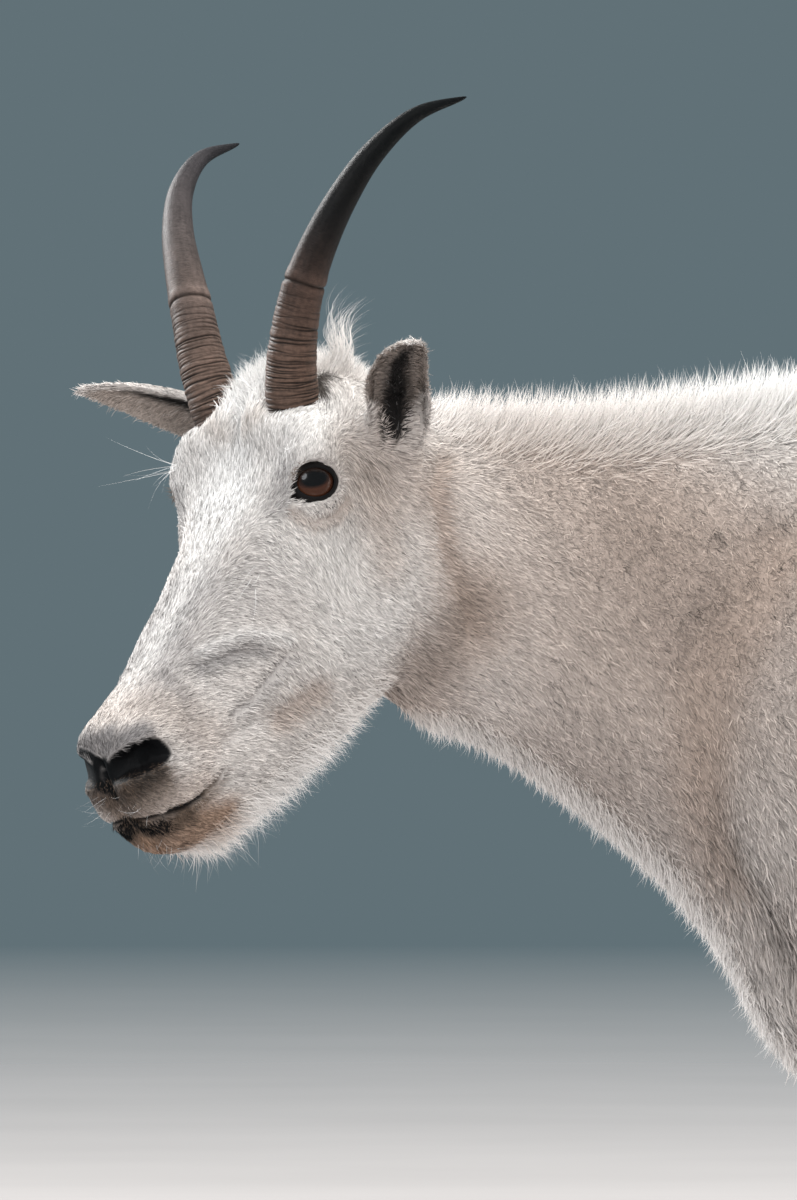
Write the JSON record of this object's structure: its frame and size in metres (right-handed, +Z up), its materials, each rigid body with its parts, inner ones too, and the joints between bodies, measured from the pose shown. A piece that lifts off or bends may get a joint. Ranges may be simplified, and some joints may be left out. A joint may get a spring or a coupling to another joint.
{
  "type": "mountain goat",
  "caption": "Life-size still model of a standing mountain goat, head turned aside: white coat with mane, poll tuft and beard, short black horns, dark hooves.",
  "frame": {"origin": "middle of the bounding box on the ground plane, with the soles of the hooves at z = 0", "axes": "+Z up; the body runs along X with the tail toward +X, the animal's left side faces -Y, and the head is turned toward -X and -Y"},
  "size_m": [1.1956, 0.4226, 1.0059],
  "materials": {
    "coat": "ivory white short summer fur, warm grey on the sides of the neck, with longer hair on mane, poll and chin",
    "horn": "ringed horn, taupe brown at the base and charcoal black above, dull sheen",
    "hoof": "dark grey-brown horn, matt, worn at the sole",
    "eye": "wet dark brown eye with a level pupil"
  },
  "bodies": {
    "root": {"dewclaw_fore_left_inner": "hoof", "dewclaw_fore_left_outer": "hoof", "dewclaw_fore_right_inner": "hoof", "dewclaw_fore_right_outer": "hoof", "dewclaw_hind_left_inner": "hoof", "dewclaw_hind_left_outer": "hoof", "dewclaw_hind_right_inner": "hoof", "dewclaw_hind_right_outer": "hoof", "ear_left": "coat", "ear_right": "coat", "eye_left": "eye", "eye_right": "eye", "foreleg_left": "coat", "foreleg_right": "coat", "head": "coat", "hindleg_left": "coat", "hindleg_right": "coat", "hoof_fore_left_inner": "hoof", "hoof_fore_left_outer": "hoof", "hoof_fore_right_inner": "hoof", "hoof_fore_right_outer": "hoof", "hoof_hind_left_inner": "hoof", "hoof_hind_left_outer": "hoof", "hoof_hind_right_inner": "hoof", "hoof_hind_right_outer": "hoof", "horn_left": "horn", "horn_right": "horn", "neck": "coat", "tail": "coat", "torso": "coat"}
  },
  "joints": []
}
